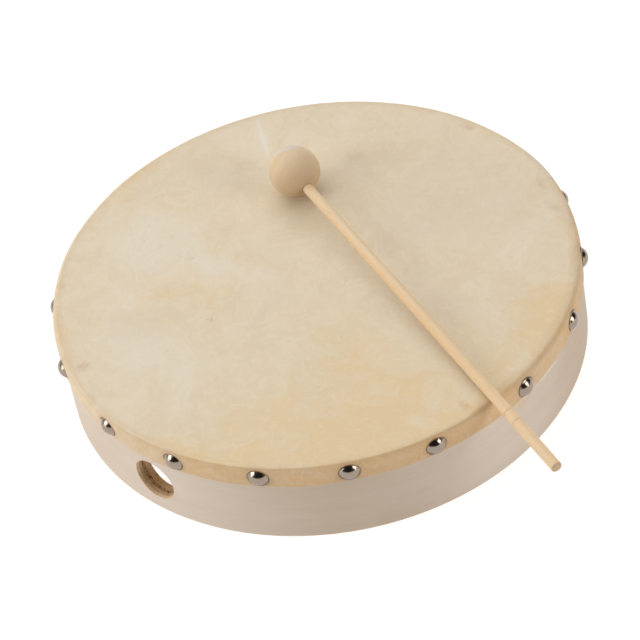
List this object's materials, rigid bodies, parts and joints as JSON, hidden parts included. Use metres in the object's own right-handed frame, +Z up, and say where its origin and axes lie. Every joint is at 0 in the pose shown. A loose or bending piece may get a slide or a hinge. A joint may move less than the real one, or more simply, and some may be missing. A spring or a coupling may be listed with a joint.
{
  "type": "frame drum",
  "caption": "Shallow hand drum: a bent-ply hoop with a thumb hole, one tacked rawhide head, and a wooden ball beater lying across the head.",
  "frame": {"origin": "centre of the circle that the hoop's base makes on the surface it stands on", "axes": "+Z up through the middle of the head; -Y out through the thumb hole; +X to the side that the beater's stick points to"},
  "size_m": [0.3062, 0.2592, 0.0724],
  "materials": {
    "ply_face": "sanded, unvarnished",
    "ply_core": "raw",
    "rawhide": "dry, matt, mottled",
    "nickel": "polished nickel plate",
    "nail_steel": "plain wire",
    "ball_wood": "turned, unvarnished",
    "stick_wood": "smooth dowel, unvarnished"
  },
  "bodies": {
    "drum": {"outer_ply": "ply_face", "second_ply": "ply_core", "middle_ply": "ply_core", "fourth_ply": "ply_core", "inner_ply": "ply_face", "drum_head": "rawhide", "tack_caps": "nickel", "tack_nails": "nail_steel"},
    "beater": {"beater_ball": "ball_wood", "beater_stick": "stick_wood"}
  },
  "joints": [
    {"name": "beater_lift", "type": "slide", "parent": "drum", "child": "beater", "axis": [0, 0, 1], "range_m": [0, 0.15]}
  ]
}
